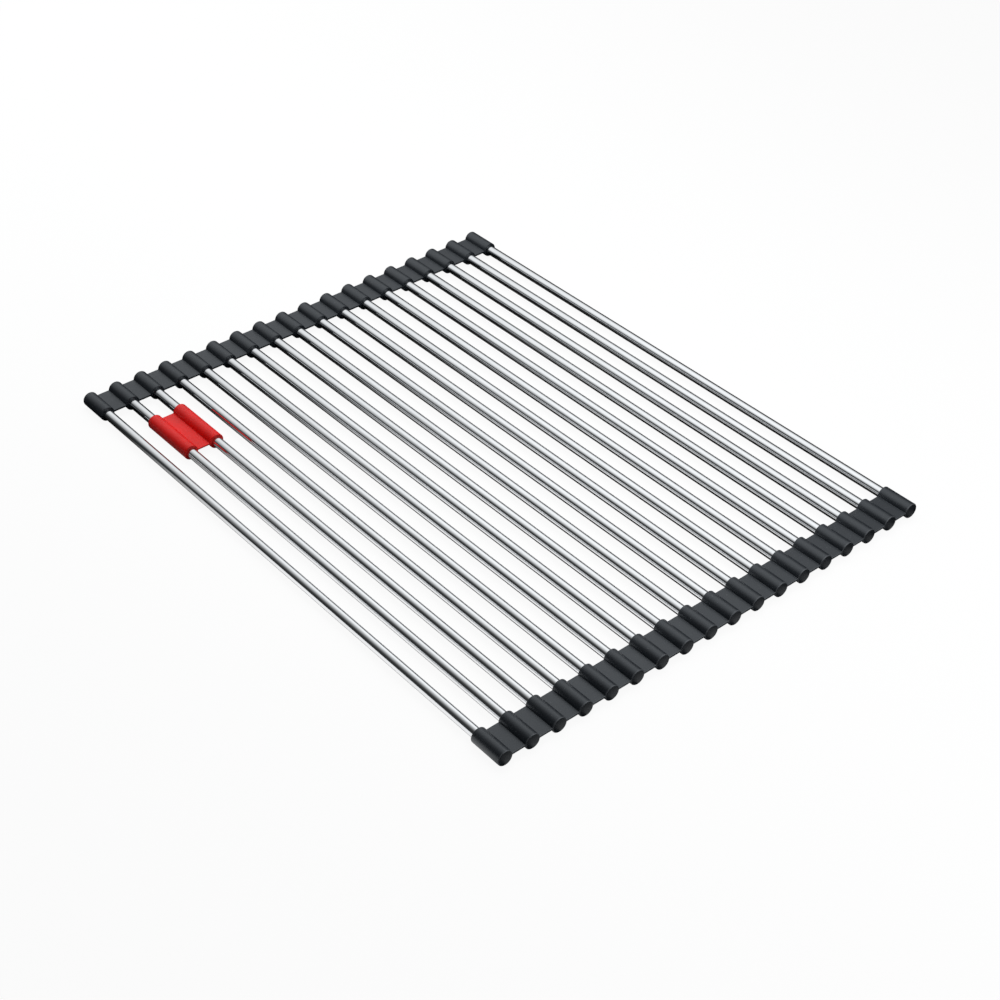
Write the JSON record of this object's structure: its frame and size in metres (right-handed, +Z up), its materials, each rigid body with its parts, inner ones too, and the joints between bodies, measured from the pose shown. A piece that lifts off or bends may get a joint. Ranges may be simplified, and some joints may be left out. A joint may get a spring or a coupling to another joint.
{
  "type": "roll up dish drying rack",
  "caption": "Flat drying rack of parallel steel tubes held by two moulded end strips whose thin webs bend so that it rolls up, with a soft tag round two tubes.",
  "frame": {"origin": "centre of the rack's outline, on the surface it lies on", "axes": "+X along the tubes, with the tag towards -X; +Y across the tubes, away from the tag; +Z up"},
  "size_m": [0.44, 0.3454, 0.0105],
  "materials": {
    "steel": "polished stainless tube",
    "strip": "matte charcoal silicone",
    "tag": "satin red silicone, left bare"
  },
  "bodies": {
    "row_01": {"tube_01": "steel", "left_strip_link_01": "strip", "right_strip_link_01": "strip"},
    "row_02": {"tube_02": "steel", "left_strip_link_02": "strip", "right_strip_link_02": "strip", "tag_sleeve_front": "tag"},
    "row_03": {"tube_03": "steel", "left_strip_link_03": "strip", "right_strip_link_03": "strip", "tag_sleeve_back": "tag"},
    "row_04": {"tube_04": "steel", "left_strip_link_04": "strip", "right_strip_link_04": "strip"},
    "row_05": {"tube_05": "steel", "left_strip_link_05": "strip", "right_strip_link_05": "strip"},
    "row_06": {"tube_06": "steel", "left_strip_link_06": "strip", "right_strip_link_06": "strip"},
    "row_07": {"tube_07": "steel", "left_strip_link_07": "strip", "right_strip_link_07": "strip"},
    "row_08": {"tube_08": "steel", "left_strip_link_08": "strip", "right_strip_link_08": "strip"},
    "row_09": {"tube_09": "steel", "left_strip_link_09": "strip", "right_strip_link_09": "strip"},
    "row_10": {"tube_10": "steel", "left_strip_link_10": "strip", "right_strip_link_10": "strip"},
    "row_11": {"tube_11": "steel", "left_strip_link_11": "strip", "right_strip_link_11": "strip"},
    "row_12": {"tube_12": "steel", "left_strip_link_12": "strip", "right_strip_link_12": "strip"},
    "row_13": {"tube_13": "steel", "left_strip_link_13": "strip", "right_strip_link_13": "strip"},
    "row_14": {"tube_14": "steel", "left_strip_link_14": "strip", "right_strip_link_14": "strip"},
    "row_15": {"tube_15": "steel", "left_strip_link_15": "strip", "right_strip_link_15": "strip"},
    "row_16": {"tube_16": "steel", "left_strip_link_16": "strip", "right_strip_link_16": "strip"},
    "row_17": {"tube_17": "steel", "left_strip_link_17": "strip", "right_strip_link_17": "strip"},
    "row_18": {"tube_18": "steel", "left_strip_link_18": "strip", "right_strip_link_18": "strip"}
  },
  "joints": [
    {"name": "web_fold_01", "type": "hinge", "parent": "row_01", "child": "row_02", "pos_m": [0, -0.1576, 0.00525], "axis": [1, 0, 0], "range_deg": [0, 32], "stiffness_Nm_per_rad": 0.004},
    {"name": "web_fold_02", "type": "hinge", "parent": "row_02", "child": "row_03", "pos_m": [0, -0.1379, 0.00525], "axis": [1, 0, 0], "range_deg": [0, 33], "stiffness_Nm_per_rad": 0.006},
    {"name": "web_fold_03", "type": "hinge", "parent": "row_03", "child": "row_04", "pos_m": [0, -0.1182, 0.00525], "axis": [1, 0, 0], "range_deg": [0, 34], "stiffness_Nm_per_rad": 0.004},
    {"name": "web_fold_04", "type": "hinge", "parent": "row_04", "child": "row_05", "pos_m": [0, -0.0985, 0.00525], "axis": [1, 0, 0], "range_deg": [0, 35], "stiffness_Nm_per_rad": 0.004},
    {"name": "web_fold_05", "type": "hinge", "parent": "row_05", "child": "row_06", "pos_m": [0, -0.0788, 0.00525], "axis": [1, 0, 0], "range_deg": [0, 36], "stiffness_Nm_per_rad": 0.004},
    {"name": "web_fold_06", "type": "hinge", "parent": "row_06", "child": "row_07", "pos_m": [0, -0.0591, 0.00525], "axis": [1, 0, 0], "range_deg": [0, 37], "stiffness_Nm_per_rad": 0.004},
    {"name": "web_fold_07", "type": "hinge", "parent": "row_07", "child": "row_08", "pos_m": [0, -0.0394, 0.00525], "axis": [1, 0, 0], "range_deg": [0, 39], "stiffness_Nm_per_rad": 0.004},
    {"name": "web_fold_08", "type": "hinge", "parent": "row_08", "child": "row_09", "pos_m": [0, -0.0197, 0.00525], "axis": [1, 0, 0], "range_deg": [0, 41], "stiffness_Nm_per_rad": 0.004},
    {"name": "web_fold_09", "type": "hinge", "parent": "row_09", "child": "row_10", "pos_m": [0, 0, 0.00525], "axis": [1, 0, 0], "range_deg": [0, 42], "stiffness_Nm_per_rad": 0.004},
    {"name": "web_fold_10", "type": "hinge", "parent": "row_10", "child": "row_11", "pos_m": [0, 0.0197, 0.00525], "axis": [1, 0, 0], "range_deg": [0, 45], "stiffness_Nm_per_rad": 0.004},
    {"name": "web_fold_11", "type": "hinge", "parent": "row_11", "child": "row_12", "pos_m": [0, 0.0394, 0.00525], "axis": [1, 0, 0], "range_deg": [0, 48], "stiffness_Nm_per_rad": 0.004},
    {"name": "web_fold_12", "type": "hinge", "parent": "row_12", "child": "row_13", "pos_m": [0, 0.0591, 0.00525], "axis": [1, 0, 0], "range_deg": [0, 51], "stiffness_Nm_per_rad": 0.004},
    {"name": "web_fold_13", "type": "hinge", "parent": "row_13", "child": "row_14", "pos_m": [0, 0.0788, 0.00525], "axis": [1, 0, 0], "range_deg": [0, 55], "stiffness_Nm_per_rad": 0.004},
    {"name": "web_fold_14", "type": "hinge", "parent": "row_14", "child": "row_15", "pos_m": [0, 0.0985, 0.00525], "axis": [1, 0, 0], "range_deg": [0, 60], "stiffness_Nm_per_rad": 0.004},
    {"name": "web_fold_15", "type": "hinge", "parent": "row_15", "child": "row_16", "pos_m": [0, 0.1182, 0.00525], "axis": [1, 0, 0], "range_deg": [0, 68], "stiffness_Nm_per_rad": 0.004},
    {"name": "web_fold_16", "type": "hinge", "parent": "row_16", "child": "row_17", "pos_m": [0, 0.1379, 0.00525], "axis": [1, 0, 0], "range_deg": [0, 80], "stiffness_Nm_per_rad": 0.004},
    {"name": "web_fold_17", "type": "hinge", "parent": "row_17", "child": "row_18", "pos_m": [0, 0.1576, 0.00525], "axis": [1, 0, 0], "range_deg": [0, 107], "stiffness_Nm_per_rad": 0.004}
  ]
}
